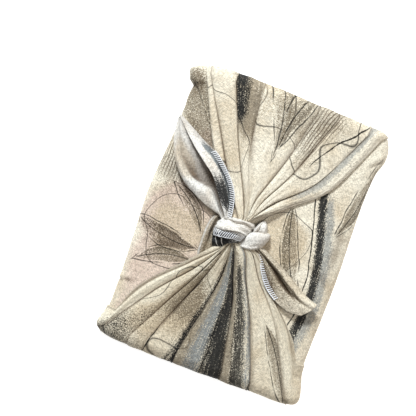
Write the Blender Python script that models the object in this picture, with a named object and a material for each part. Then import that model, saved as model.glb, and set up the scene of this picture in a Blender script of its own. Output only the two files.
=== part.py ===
"""A furoshiki wrap: one square cloth, folded and tied round a flat bundle, as it lies on a table.

Metres, +Z up, +Y along the bundle, with the origin under the middle of its box. The tables are in
millimetres, seen from above, from the middle of the bundle.

The cloth is one closed solid. Its two side corners are folded flat over the long sides, and its other
two corners come up over the short ends, gather in pleats and are tied in a square knot on top.
"""

import math

import bpy
import numpy as np

MM = 0.001

# Driving dimensions, in millimetres.
HALF_WIDTH = 108.0
HALF_LENGTH = 150.0
BUNDLE_THICKNESS = 26.0
CROWN = 2.5
TOP_EDGE_RADIUS = 8.0
BOTTOM_EDGE_RADIUS = 4.5
WALL_BULGE = 0.8
CORNER_REACH = 22.0
TAIL_THICKNESS = 2.0
PLEAT_HEIGHT_AT_FOOT = 1.6
WALL_FOOT = 0.6

# How deep the hidden undersides of the tied ends and of the knot lie in the bundle.
SUNK = 4.5
KNOT_FOOT = 23.0

# The middle of the finished box, from the middle of the bundle.
BOX_MIDDLE = (3.75, 1.17)

# The bundle's outline inside its tied ends, anticlockwise from the right: name, x, y.
OUTLINE = (
    ("right side", 109.5, 0.0),
    ("right upper side", 107.5, 62.0),
    ("right shoulder", 108.5, 103.0),
    ("right ear", 114.0, 125.0),
    ("upper right corner", 106.0, 146.5),
    ("upper end, right", 78.0, 149.0),
    ("upper end", 20.0, 151.0),
    ("upper end, left", -50.0, 153.0),
    ("upper left corner", -92.0, 151.0),
    ("left ear", -109.5, 144.0),
    ("left ear, root", -103.5, 122.0),
    ("left upper side", -102.5, 85.0),
    ("left side", -107.5, 5.0),
    ("left lower side", -103.5, -80.0),
    ("lower left shoulder", -103.5, -122.0),
    ("lower left corner", -106.0, -143.5),
    ("lower end, left", -72.0, -149.5),
    ("lower end", 0.0, -150.5),
    ("lower end, right", 72.0, -150.0),
    ("lower right corner", 113.5, -147.0),
    ("lower right shoulder", 108.5, -112.0),
    ("right lower side", 109.5, -55.0),
)

# Each pleat line of a tied end: its name, whether it is a sharp crease, then x, y and the height over
# the bundle at four places: by the knot, below it, halfway, and where it turns over the bundle's edge.
UPPER_PLEATS = (
    ("left edge", 0, -21, 13, 7.0, -36, 34, 4.0, -61, 80, 2.6, -95, 150, 2.0),
    ("outer valley", 1, -12, 16, 8.5, -24, 38, 3.2, -51, 83, 1.8, -88, 150, 1.5),
    ("outer ridge", 0, -7, 17, 11.5, -17, 36, 7.5, -41, 84, 5.0, -73, 151, 3.6),
    ("split crease", 1, -5, 17, 10.5, -13, 37, 5.0, -36, 84, 3.0, -61, 151, 2.2),
    ("bright ridge", 0, -4, 18, 12.0, -10, 38, 7.5, -31, 80, 4.8, -50, 152, 3.2),
    ("soft valley", 1, -3, 17, 10.5, -7, 38, 5.5, -22, 80, 2.8, -32, 152, 2.2),
    ("middle panel", 0, -2, 17, 12.0, -2, 40, 7.5, -2, 82, 5.5, -6, 151, 3.8),
    ("deep crease", 1, -1, 17, 9.5, 2, 40, 4.0, 15, 80, 1.8, 30, 150, 1.8),
    ("crease ridge", 0, 0.5, 17, 12.0, 5, 40, 8.0, 21, 82, 5.5, 37, 149, 3.6),
    ("right valley", 1, 2, 18, 10.5, 9, 39, 5.0, 29, 80, 2.6, 52, 149, 2.0),
    ("right ridge", 0, 3.5, 19, 11.5, 13, 40, 7.5, 38, 81, 5.0, 67, 148, 3.2),
    ("right hollow", 1, 5, 20, 10.0, 20, 41, 4.8, 54, 76, 2.6, 87, 148, 2.0),
    ("right roll", 0, 6.5, 20, 10.5, 30, 43, 5.5, 65, 74, 4.0, 98, 147, 3.0),
    ("right edge", 0, 8, 20, 9.0, 37, 43, 4.0, 71, 75, 2.8, 105, 144, 2.2),
)
LOWER_PLEATS = (
    ("left edge", 0, -17, -23, 9.0, -42, -48, 4.5, -78, -86, 3.0, -104, -121, 2.2),
    ("left roll", 0, -16.5, -24, 10.5, -39, -49, 6.5, -73, -87, 4.6, -104, -128, 3.0),
    ("trough", 1, -16, -25, 9.5, -34, -52, 3.4, -64, -87, 2.0, -103, -140, 1.6),
    ("hump", 0, -15.5, -26, 11.0, -29, -52, 6.5, -54, -88, 4.8, -89, -147, 3.2),
    ("dark crease", 1, -14.5, -26, 9.0, -27, -54, 2.8, -45, -88, 1.8, -73, -148, 1.6),
    ("narrow ridge", 0, -13, -26, 12.0, -25, -54, 7.5, -41, -88, 5.6, -65, -148, 3.2),
    ("second crease", 1, -11.5, -26, 9.5, -20, -53, 3.2, -34, -88, 2.2, -55, -148, 1.8),
    ("small ridge", 0, -9.5, -26, 11.5, -15, -50, 7.0, -25, -86, 4.4, -43, -149, 3.0),
    ("thin crease", 1, -6, -24, 9.5, -5, -48, 4.8, -10, -84, 3.2, -22, -149, 2.4),
    ("striped panel", 0, -3.5, -23, 11.5, 2, -48, 6.5, 5, -80, 5.0, 2, -149, 3.6),
    ("fold edge crease", 1, -1, -22, 8.0, 7.5, -48, 1.8, 17, -76, 1.6, 30, -149, 1.8),
    ("fold edge ridge", 0, 1, -21, 11.5, 10, -47, 8.0, 20, -76, 5.8, 38, -149, 3.4),
    ("grey band valley", 1, 9, -19, 9.5, 19, -41, 5.0, 38, -80, 2.8, 62, -149, 2.0),
    ("slant ridge", 0, 13, -18, 10.5, 26, -40, 7.0, 50, -76, 4.6, 84, -148, 3.2),
    ("slant valley", 1, 17, -17, 8.5, 33, -40, 4.0, 62, -74, 2.4, 104, -145, 1.8),
    ("right roll", 0, 21, -17, 9.0, 43, -44, 5.5, 75, -78, 4.2, 111, -130, 3.0),
    ("right edge", 0, 24, -17, 7.5, 48, -46, 4.0, 82, -80, 3.0, 108.5, -108, 2.2),
)

# The gather point of each tied end, under the knot.
UPPER_GATHER = np.array((-4.0, 5.0))
LOWER_GATHER = np.array((-8.0, -8.0))

# The turns of the knot: for each line along one, x, y and z from where it comes up to where it dives.
KNOT_BAND = (
    ("upper edge", (-23, 7, 30), (-20, 10, 36), (-12, 12, 39), (0, 12.5, 39), (7, 11, 36), (10, 8, 30)),
    ("upper fold",
     (-26.5, 4, 31), (-24, 5.5, 40), (-14, 8, 46), (-2, 8.5, 47), (7, 6.5, 41), (11.5, 4, 31)),
    ("upper groove",
     (-28, 1, 31), (-25.5, 1.5, 40), (-15, 3, 45), (-3, 3.5, 45), (6, 2, 39), (10.5, 0.5, 31)),
    ("middle fold",
     (-29, -3, 31), (-26.5, -3, 42), (-17, -2.5, 50), (-5, -2, 51), (3, -2.5, 42), (8, -2, 31)),
    ("hem step", (-29.5, -7, 31), (-27, -7.5, 40), (-18, -8, 48), (-7, -7, 48), (1, -6, 39), (6, -5, 31)),
    ("lower fold",
     (-29, -13, 31), (-27, -13, 39), (-20, -14, 46), (-11, -13, 46), (-3, -10, 39), (3, -8, 31)),
    ("lower edge",
     (-26, -20, 29), (-24, -21.5, 34), (-18, -23, 37), (-12, -22, 37), (-5, -17, 34), (1, -11, 29)),
)
LOWER_RIGHT_LOOP = (
    ("lower edge", (-3, -12, 28), (4, -14.5, 31), (14, -15, 32), (22, -13.5, 31), (25, -10, 27)),
    ("lower swell", (-1, -9, 34), (5, -10, 41), (14, -9.5, 42), (22, -8, 39), (27.5, -5, 28)),
    ("middle crease", (1, -5, 35), (7, -4.5, 40), (15, -3, 40), (23, -1, 37), (29, 0, 28)),
    ("upper swell", (4, 0, 35), (9, 1.5, 42), (15, 3, 43), (23, 3.5, 39), (29.5, 4, 28)),
    ("upper edge", (7, 4, 28), (10, 6.5, 32), (15, 7.5, 34), (21, 8, 32), (27, 7, 27)),
)
UPPER_RIGHT_LOOP = (
    ("left edge", (9, 3, 28), (10.5, 9, 32), (12, 14, 33), (14, 18, 28)),
    ("swell", (14, 3, 34), (15, 9, 40), (16.5, 13.5, 38), (17.5, 18.5, 28)),
    ("right edge", (20, 4, 28), (22, 9, 33), (22, 14, 31), (20.5, 17, 28)),
)
LEFT_LOOP = (
    ("outer edge", (-30, 9, 27), (-35.5, 2, 28), (-38, -14, 28), (-37, -41, 27)),
    ("ridge", (-29.5, 8, 33), (-34, 1, 35), (-36, -14, 34), (-34, -41, 29)),
    ("hollow", (-28, 6, 32), (-31, 0, 32), (-32, -13, 32), (-29, -38, 29)),
    ("inner edge", (-25, 5, 32), (-26, -2, 34), (-25, -14, 34), (-21, -32, 30)),
)

# The free ends: for each line along one, x, y and z from its root in the knot to its tip.
LEFT_TAIL = (
    ("hem edge",
     (-15, 6, 42), (-20, 30, 41), (-33, 51, 38), (-56, 70, 36), (-82, 83, 33.5), (-102, 93, 31)),
    ("inner slope",
     (-17, 5, 41), (-27, 29, 34), (-41, 46, 32.5), (-61, 64, 32), (-85, 79, 31.5), (-102.5, 92, 30.7)),
    ("fold ridge",
     (-19, 4, 41), (-36, 26, 40), (-49, 42, 39), (-67, 60, 37.5), (-88, 76, 35), (-103, 91, 31.2)),
    ("hollow",
     (-20, 2, 40), (-38, 19, 33.5), (-56, 33, 32), (-76, 49, 32), (-94, 70, 31.5), (-103.5, 90, 30.6)),
    ("rolled edge",
     (-21, 0, 38), (-42, 13, 37), (-65, 23, 38), (-87, 42, 38), (-102, 68, 35.5), (-104, 88, 31)),
    ("turned edge",
     (-20, 0, 35), (-41, 15, 32), (-63, 26, 32.5), (-84, 45, 32.5), (-98, 69, 32), (-102.5, 88, 29.6)),
)
RIGHT_TAIL = (
    ("upper edge", (18, -3, 34), (41, -14, 33), (60, -25, 32.5), (80, -35, 32.5), (99, -45, 38)),
    ("middle", (17, -8, 36), (37, -22, 37), (54, -37, 35.5), (74, -46, 34), (94, -52, 37)),
    ("hem edge", (16, -12, 33), (31, -28, 35), (45, -48, 34.5), (64, -56, 34), (85, -60, 34)),
)


def spline(points, steps, closed=False):
    """Points along a smooth curve through the given ones, with this many steps in each span."""
    p = np.array(points, float)
    spans = len(p) if closed else len(p) - 1
    t = np.arange(spans * steps + (0 if closed else 1)) / steps
    k = np.minimum(t.astype(int), spans - 1)
    f = (t - k)[:, None]

    def at(i):
        return p[i % len(p)] if closed else p[np.clip(i, 0, len(p) - 1)]

    a, b, c, d = at(k - 1), at(k), at(k + 1), at(k + 2)
    return b + 0.5 * f * (c - a + f * (2 * a - 5 * b + 4 * c - d + f * (3 * b - a - 3 * c + d)))


EDGE = spline([row[1:] for row in OUTLINE], 40, closed=True)
EDGE_STEPS = np.linalg.norm(np.roll(EDGE, -1, axis=0) - EDGE, axis=1)
EDGE_AT = np.concatenate([[0.0], np.cumsum(EDGE_STEPS)])


def edge_point(s):
    """The outline's point this far round it, in millimetres."""
    s = np.asarray(s, float) % EDGE_AT[-1]
    closed = np.vstack([EDGE, EDGE[:1]])
    return np.stack([np.interp(s, EDGE_AT, closed[:, 0]), np.interp(s, EDGE_AT, closed[:, 1])], axis=-1)


def edge_place(x, y):
    """How far round the outline its nearest point to x, y lies."""
    return EDGE_AT[np.argmin(np.hypot(EDGE[:, 0] - x, EDGE[:, 1] - y))]


def outwards(p):
    """The direction out of the bundle at an outline point, turning smoothly round each corner."""
    limit = np.array([HALF_WIDTH - CORNER_REACH, HALF_LENGTH - CORNER_REACH])
    out = p - np.clip(p, -limit, limit)
    return out / np.linalg.norm(out)


def bundle_top(x, y):
    """The height of the bundle's top, crowned a little in the middle."""
    across = np.clip(1 - (x / HALF_WIDTH) ** 2, 0, 1)
    along = np.clip(1 - (y / HALF_LENGTH) ** 2, 0, 1)
    return BUNDLE_THICKNESS + CROWN * np.sqrt(across * along)


def over_edge(p, at_brow, at_foot):
    """Points from the outline point p down the bundle's wall, this far proud of it at its brow and foot."""
    rows = []
    for angle in np.radians((60, 30, 0)):
        inset = TOP_EDGE_RADIUS * (1 - math.cos(angle))
        height = BUNDLE_THICKNESS - TOP_EDGE_RADIUS * (1 - math.sin(angle))
        rows.append((inset, height, math.cos(angle), math.sin(angle)))
    middle = (BUNDLE_THICKNESS - TOP_EDGE_RADIUS + BOTTOM_EDGE_RADIUS) / 2
    rows.append((-WALL_BULGE, middle, 1.0, 0.0))
    for angle in np.radians((0, -45)):
        inset = BOTTOM_EDGE_RADIUS * (1 - math.cos(angle))
        height = BOTTOM_EDGE_RADIUS * (1 + math.sin(angle))
        rows.append((inset, height, math.cos(angle), math.sin(angle)))
    out = outwards(p)
    points = []
    for (inset, height, side, up), proud in zip(rows, np.linspace(at_brow, at_foot, len(rows))):
        flat = p + out * (proud * side - inset)
        points.append((flat[0], flat[1], max(height + proud * up, WALL_FOOT)))
    return points


def closed_shell(name, grid):
    """A closed mesh object from rings of points, with quads between the rings and a face on each end."""
    grid = np.array(grid, float) - (*BOX_MIDDLE, 0.0)
    rings, columns = grid.shape[:2]
    faces = []
    for i in range(rings - 1):
        for j in range(columns):
            k = (j + 1) % columns
            low, high = i * columns, (i + 1) * columns
            faces.append((low + j, low + k, high + k, high + j))
    faces.append(list(range(columns))[::-1])
    faces.append(list(range((rings - 1) * columns, rings * columns)))
    mesh = bpy.data.meshes.new(name)
    mesh.from_pydata((grid.reshape(-1, 3) * MM).tolist(), [], faces)
    mesh.calc_loop_triangles()
    points = np.array([v.co for v in mesh.vertices])
    corners = points[np.array([t.vertices for t in mesh.loop_triangles])]
    if np.linalg.det(corners).sum() < 0:
        mesh.flip_normals()
    mesh.shade_smooth()
    mesh.set_sharp_from_angle(angle=math.radians(50))
    return bpy.data.objects.new(name, mesh)


def make_bundle(around=76, rings=(0.82, 0.6, 0.34, 0.12)):
    """The bundle in its two side flaps: flat underneath, round at the edges, crowned on top."""
    columns = []
    for p in edge_point(np.linspace(0, EDGE_AT[-1], around, endpoint=False)):
        out = outwards(p)
        foot = p - out * BOTTOM_EDGE_RADIUS
        brow = p - out * TOP_EDGE_RADIUS
        column = [(*foot, 0.0)]
        column += over_edge(p, 0.0, 0.0)[::-1]
        column.append((*brow, BUNDLE_THICKNESS))
        column += [(*(brow * k), bundle_top(*(brow * k))) for k in rings]
        columns.append(column)
    return closed_shell("furoshiki_cloth", np.array(columns).transpose(1, 0, 2))


def eased(f, from_crease, to_crease):
    """How far the height has gone from one pleat line to the next: steep at a crease, flat on a ridge."""
    if from_crease and not to_crease:
        return math.sin(f * math.pi / 2)
    if to_crease and not from_crease:
        return 1 - math.cos(f * math.pi / 2)
    return f * f * (3 - 2 * f)


def make_tied_end(name, pleats, gather, between, along=4, gathered_in=0.35):
    """One gathered corner of the cloth: its pleats run from the knot over the end and down the wall."""
    lines = []
    for _, sharp, *places in pleats:
        x, y, height = np.array(places).reshape(-1, 3).T
        lines.append((sharp, np.column_stack([x, y]), height, edge_place(x[-1], y[-1])))
    tops, hidden = [], []
    for i in range(len(lines) - 1):
        (sharp_a, p_a, h_a, s_a), (sharp_b, p_b, h_b, s_b) = lines[i], lines[i + 1]
        half_round = EDGE_AT[-1] / 2
        turn = (s_b - s_a + half_round) % EDGE_AT[-1] - half_round
        last = i == len(lines) - 2
        for f in np.arange(between + last) / between:
            h = h_a + (h_b - h_a) * eased(f, sharp_a, sharp_b)
            p = p_a + (p_b - p_a) * f
            end = edge_point(s_a + turn * f)
            brow = end - outwards(end) * TOP_EDGE_RADIUS
            root = gather + gathered_in * (p[0] - gather)
            line = spline([root, p[0], p[1], p[2], brow], along)
            height = spline([(h[0],), (h[0],), (h[1],), (h[2],), (h[3],)], along)[:, 0]
            floor = bundle_top(line[:, 0], line[:, 1])
            on_top = np.column_stack([line, floor + height])
            below = np.column_stack([line, floor - SUNK])
            tops.append([*on_top, *over_edge(end, h[3], PLEAT_HEIGHT_AT_FOOT)])
            hidden.append([*below, *over_edge(end, -SUNK, -SUNK)])
    return closed_shell(name, np.array(tops + hidden[::-1]).transpose(1, 0, 2))


def surface_over(lines, along, across):
    """A smooth grid of points over the lines given along a piece, a row for each step along it."""
    spread = np.array([spline(row[1:], along) for row in lines])
    return np.array([spline(column, across) for column in spread.transpose(1, 0, 2)])


def make_turn(name, lines, along=3, across=2):
    """One turn of the knot: its folded surface, filled down into the bundle."""
    surface = surface_over(lines, along, across)
    foot = surface.copy()
    foot[..., 2] = KNOT_FOOT
    loop = np.concatenate([surface, foot[:, ::-1]], axis=1)
    return closed_shell(name, loop)


def make_tail(name, lines, along=4, across=2):
    """A free end: one thick layer of cloth over the lines given along it."""
    surface = surface_over(lines, along, across)
    normal = np.cross(np.gradient(surface, axis=0), np.gradient(surface, axis=1))
    normal /= np.linalg.norm(normal, axis=2, keepdims=True)
    normal *= np.sign(normal[..., 2].mean()) * TAIL_THICKNESS / 2
    return closed_shell(name, np.concatenate([surface + normal, (surface - normal)[:, ::-1]], axis=1))


def linen():
    """Undyed linen with a matt finish."""
    material = bpy.data.materials.new("linen")
    material.use_nodes = True
    shader = material.node_tree.nodes["Principled BSDF"]
    shader.inputs["Base Color"].default_value = (0.64, 0.55, 0.42, 1)
    shader.inputs["Roughness"].default_value = 0.9
    shader.inputs["Metallic"].default_value = 0.0
    return material


for old in list(bpy.data.objects):
    bpy.data.objects.remove(old)

cloth = make_bundle()
cloth.data.materials.append(linen())
bpy.context.scene.collection.objects.link(cloth)

# Each fold is joined to the bundle, so that the cloth is one solid.
for fold in (
    make_tied_end("upper_end", UPPER_PLEATS, UPPER_GATHER, between=4),
    make_tied_end("lower_end", LOWER_PLEATS, LOWER_GATHER, between=3),
    make_tail("left_tail", LEFT_TAIL),
    make_tail("right_tail", RIGHT_TAIL),
    make_turn("knot_band", KNOT_BAND),
    make_turn("lower_right_loop", LOWER_RIGHT_LOOP),
    make_turn("upper_right_loop", UPPER_RIGHT_LOOP),
    make_turn("left_loop", LEFT_LOOP),
):
    bpy.context.scene.collection.objects.link(fold)
    fold.hide_render = True
    fold.display_type = "WIRE"
    union = cloth.modifiers.new(fold.name, "BOOLEAN")
    union.operation = "UNION"
    union.object = fold
    union.solver = "MANIFOLD"
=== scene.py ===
"""The looks of a furoshiki wrap: one square of printed linen, folded and tied round a flat bundle."""

import math

import bpy
import numpy as np
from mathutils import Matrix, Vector, noise


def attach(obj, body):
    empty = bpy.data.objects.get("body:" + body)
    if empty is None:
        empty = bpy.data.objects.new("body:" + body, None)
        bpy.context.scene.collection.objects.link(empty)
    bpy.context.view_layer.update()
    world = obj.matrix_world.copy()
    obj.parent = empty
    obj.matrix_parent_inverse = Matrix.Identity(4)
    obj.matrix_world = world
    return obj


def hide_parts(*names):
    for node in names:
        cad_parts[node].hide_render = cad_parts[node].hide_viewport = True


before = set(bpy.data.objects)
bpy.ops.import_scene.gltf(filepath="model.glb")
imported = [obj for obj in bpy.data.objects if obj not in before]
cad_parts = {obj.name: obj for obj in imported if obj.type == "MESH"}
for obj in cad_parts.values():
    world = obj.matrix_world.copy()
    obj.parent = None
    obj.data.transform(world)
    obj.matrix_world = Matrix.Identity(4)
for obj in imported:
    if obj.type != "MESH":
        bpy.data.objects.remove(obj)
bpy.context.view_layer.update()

# The middle of the cloth, plain-woven linen with a hand-brushed print. It lies flat under the bundle, goes up
# its four walls and is folded over the top from both long sides, where the knot holds it. Sizes are in
# millimetres, seen from above, from the bundle's middle.
MM = 0.001
HALF_WIDTH = 108.0
HALF_LENGTH = 150.0
BUNDLE_THICKNESS = 26.0
CROWN = 2.5
TOP_EDGE_RADIUS = 8.0
BOTTOM_EDGE_RADIUS = 4.5
WALL_BULGE = 0.8
CORNER_REACH = 22.0
CLOTH_THICKNESS = 0.9
BROAD_SLACK = 0.55
BROAD_SLACK_RATE = 0.028
FINE_SLACK = 0.26
FINE_SLACK_RATE = 0.075
FLAT_BELOW = 2.0
SLACK_GROWS_OVER = 6.0
# How far a flap crease sinks, in millimetres, before painted shade shows in it.
UNSHADED_DEPTH = 0.25
UNDERSIDE_APART = (400.0, 0.0)
BOX_MIDDLE = (3.75, 1.17, 0.0)

OUTLINE = (
    ("right side", 109.5, 0.0),
    ("right upper side", 107.5, 62.0),
    ("right shoulder", 108.5, 103.0),
    ("right ear", 114.0, 125.0),
    ("upper right corner", 106.0, 146.5),
    ("upper end, right", 78.0, 149.0),
    ("upper end", 20.0, 151.0),
    ("upper end, left", -50.0, 153.0),
    ("upper left corner", -92.0, 151.0),
    ("left ear", -110.0, 144.0),
    ("left ear, underside", -108.4, 134.5),
    ("left ear, root", -102.6, 127.0),
    ("left shoulder", -103.0, 112.0),
    ("left upper side", -102.5, 85.0),
    ("left side", -107.5, 5.0),
    ("left lower side", -103.5, -80.0),
    ("lower left shoulder", -103.5, -122.0),
    ("lower left corner", -106.0, -143.5),
    ("lower end, left", -72.0, -149.5),
    ("lower end", 0.0, -150.5),
    ("lower end, right", 72.0, -150.0),
    ("lower right corner", 113.5, -147.0),
    ("lower right shoulder", 108.5, -112.0),
    ("right lower side", 109.5, -55.0),
)

# Creases and soft ridges of the flaps: from x, y to x, y, how wide, and how high over the cloth.
FLAP_CREASES = (
    ("dart by the left wall", -112, -91, -79, -85, 1.4, -1.3),
    ("dart's upper lip", -110, -87, -82, -82, 2.6, 0.9),
    ("pull to the left wall", -42, -12, -112, 26, 7.0, 0.8),
    ("pull to the lower left", -44, -34, -110, -48, 6.0, -0.7),
    ("slack under the left end", -66, 12, -108, 58, 5.0, 0.9),
    ("fold by the left ear", -112, 130, -84, 141, 3.0, 1.5),
    ("crease by the left ear", -112, 122, -84, 135, 1.8, -1.7),
    ("fold by the left end", -110, 99, -70, 92, 3.0, 0.8),
    ("pull to the right wall", 40, 18, 112, 52, 8.0, 0.7),
    ("slack by the right wall", 96, 60, 99, -40, 7.0, -0.6),
    ("pull to the lower right", 66, -2, 112, -26, 6.0, -0.6),
    ("fold by the right ear", 96, 112, 116, 134, 2.2, 1.1),
    ("crease by the right ear", 99, 108, 118, 127, 1.5, -1.0),
)


def spline(points, steps, closed=False):
    """Points along a smooth curve through the given ones, with this many steps in each span."""
    p = np.array(points, float)
    spans = len(p) if closed else len(p) - 1
    t = np.arange(spans * steps + (0 if closed else 1)) / steps
    k = np.minimum(t.astype(int), spans - 1)
    f = (t - k)[:, None]

    def at(i):
        return p[i % len(p)] if closed else p[np.clip(i, 0, len(p) - 1)]

    a, b, c, d = at(k - 1), at(k), at(k + 1), at(k + 2)
    return b + 0.5 * f * (c - a + f * (2 * a - 5 * b + 4 * c - d + f * (3 * b - a - 3 * c + d)))


EDGE = spline([row[1:] for row in OUTLINE], 60, closed=True)
EDGE_STEPS = np.linalg.norm(np.roll(EDGE, -1, axis=0) - EDGE, axis=1)
EDGE_AT = np.concatenate([[0.0], np.cumsum(EDGE_STEPS)])


def edge_point(s):
    """The outline's point this far round it."""
    s = np.asarray(s, float) % EDGE_AT[-1]
    closed = np.vstack([EDGE, EDGE[:1]])
    return np.stack([np.interp(s, EDGE_AT, closed[:, 0]), np.interp(s, EDGE_AT, closed[:, 1])], axis=-1)


def outwards(p):
    """The direction out of the bundle at an outline point, turning smoothly round each corner."""
    limit = np.array([HALF_WIDTH - CORNER_REACH, HALF_LENGTH - CORNER_REACH])
    out = p - np.clip(p, -limit, limit)
    return out / np.linalg.norm(out)


def bundle_top(x, y):
    """The height of the bundle's top, crowned a little in the middle."""
    across = np.clip(1 - (x / HALF_WIDTH) ** 2, 0, 1)
    along = np.clip(1 - (y / HALF_LENGTH) ** 2, 0, 1)
    return BUNDLE_THICKNESS + CROWN * np.sqrt(across * along)


def wall_profile(arc_steps=7, wall_steps=7):
    """Rows from the brow down the wall to the foot: how far in, how high, and the way out of the cloth."""
    rows = []
    for angle in np.linspace(math.pi / 2, 0, arc_steps, endpoint=False):
        inset = TOP_EDGE_RADIUS * (1 - math.cos(angle))
        height = BUNDLE_THICKNESS - TOP_EDGE_RADIUS * (1 - math.sin(angle))
        rows.append((inset, height, math.cos(angle), math.sin(angle)))
    high, low = BUNDLE_THICKNESS - TOP_EDGE_RADIUS, BOTTOM_EDGE_RADIUS
    for f in np.linspace(0, 1, wall_steps, endpoint=False):
        rows.append((-WALL_BULGE * math.sin(math.pi * f), high + (low - high) * f, 1.0, 0.0))
    for angle in np.linspace(0, -math.pi / 2, arc_steps):
        inset = BOTTOM_EDGE_RADIUS * (1 - math.cos(angle))
        height = BOTTOM_EDGE_RADIUS * (1 + math.sin(angle))
        rows.append((inset, height, math.cos(angle), math.sin(angle)))
    return np.array(rows)


def lay_cloth(name, points, flat, crease=None):
    """A sheet through a grid of points, with each point's place in the flat cloth as its UV map, and how deep
    in a crease it lies, which the material darkens as painted shade.
    """
    rows, columns = points.shape[:2]
    bpy.ops.object.select_all(action="DESELECT")
    bpy.ops.mesh.primitive_grid_add(x_subdivisions=columns - 1, y_subdivisions=rows - 1)
    cloth = bpy.context.object
    cloth.name = name
    mesh = cloth.data
    mesh.name = name
    mesh.vertices.foreach_set("co", ((points - BOX_MIDDLE) * MM).ravel())
    corners = np.empty(len(mesh.loops), np.int32)
    mesh.loops.foreach_get("vertex_index", corners)
    mesh.uv_layers[0].name = "flat"
    mesh.uv_layers["flat"].data.foreach_set("uv", (flat.reshape(-1, 2)[corners] * MM).ravel())
    shade_attribute = mesh.attributes.new("crease", "FLOAT", "POINT")
    shade_attribute.data.foreach_set("value", (np.zeros((rows, columns)) if crease is None else crease).ravel())
    bpy.ops.object.mode_set(mode="EDIT")
    bpy.ops.mesh.select_all(action="SELECT")
    bpy.ops.mesh.remove_doubles(threshold=0.00001)
    bpy.ops.mesh.normals_make_consistent(inside=False)
    bpy.ops.object.mode_set(mode="OBJECT")
    highest = max(mesh.polygons, key=lambda face: face.center.z)
    if highest.normal.z < 0:
        mesh.flip_normals()
    mesh.shade_smooth()
    return cloth


def ruffle(cloth, height_at):
    """Moves each point of a cloth out along its normal, by the millimetres that its place gives; where it
    sinks, the material darkens it as painted shade.
    """
    mesh = cloth.data
    points = np.empty(len(mesh.vertices) * 3)
    mesh.vertices.foreach_get("co", points)
    points = points.reshape(-1, 3)
    normals = np.array([n.vector for n in mesh.vertex_normals])
    heights = np.array([height_at(Vector(p)) for p in points / MM + BOX_MIDDLE])
    mesh.vertices.foreach_set("co", (points + normals * heights[:, None] * MM).ravel())
    # The crease attribute: where the flap sinks, the material darkens it as painted shade.
    mesh.attributes["crease"].data.foreach_set("value", np.clip(-heights - UNSHADED_DEPTH, 0, 1))
    mesh.update()


def give_thickness(cloth, thickness=CLOTH_THICKNESS):
    """The cloth's own thickness, added on its inner side."""
    bpy.context.view_layer.objects.active = cloth
    solidify = cloth.modifiers.new("thickness", "SOLIDIFY")
    solidify.thickness = thickness * MM
    solidify.offset = -1
    bpy.ops.object.modifier_apply(modifier=solidify.name)


def flap_height(p):
    """Slack and creases of the flaps and walls, fading out towards the flat underside."""
    slack = BROAD_SLACK * noise.noise(p * BROAD_SLACK_RATE)
    slack += FINE_SLACK * noise.noise(p * FINE_SLACK_RATE)
    for _, x0, y0, x1, y1, width, height in FLAP_CREASES:
        run = Vector((x1 - x0, y1 - y0))
        from_start = Vector((p.x - x0, p.y - y0))
        f = min(max(from_start.dot(run) / run.length_squared, 0.0), 1.0)
        fade = math.sin(math.pi * min(0.08 + f, 1.0))
        slack += height * fade * math.exp(-((from_start - run * f).length / width) ** 2)
    return slack * min(max((p.z - FLAT_BELOW) / SLACK_GROWS_OVER, 0.0), 1.0)


def make_wrapped_sides(around=480, top_rings=44, bottom_rings=10):
    """The middle of the cloth round the bundle, with its flaps brought together under the knot."""
    profile = wall_profile()
    down = np.concatenate([[0.0], np.cumsum(np.linalg.norm(np.diff(profile[:, :2], axis=0), axis=1))])
    columns, spread = [], []
    for p in edge_point(np.linspace(0, EDGE_AT[-1], around + 1)):
        out = outwards(p)
        brow = p - out * TOP_EDGE_RADIUS
        foot = p - out * BOTTOM_EDGE_RADIUS
        inner = [brow * k for k in np.linspace(0.0, 1.0, top_rings, endpoint=False)]
        column = [(*q, bundle_top(*q)) for q in inner]
        column += [(*(p - out * inset), height) for inset, height, _, _ in profile]
        under = [foot * k for k in np.linspace(1.0, 0.0, bottom_rings)]
        column += [(*q, 0.0) for q in under]
        columns.append(column)
        spread.append([*inner, *(brow + out * d for d in down), *(q + UNDERSIDE_APART for q in under)])
    points, flat = (np.array(grid).transpose(1, 0, 2) for grid in (columns, spread))
    return lay_cloth("wrapped_sides", points, flat)


CREAM = (0.74, 0.672, 0.535)
PALE_CREAM = (0.79, 0.725, 0.595)
TAN = (0.56, 0.455, 0.315)
TAUPE = (0.2, 0.158, 0.105)
BROWN = (0.105, 0.072, 0.046)
BLUSH = (0.63, 0.49, 0.41)
BLUE_GREY = (0.22, 0.242, 0.25)
CHARCOAL = (0.011, 0.012, 0.013)
INK = (0.008, 0.007, 0.006)
# The dark brown of the painted shade deep in the cloth's folds.
FOLD_SHADE = (0.16, 0.11, 0.075)


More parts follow.
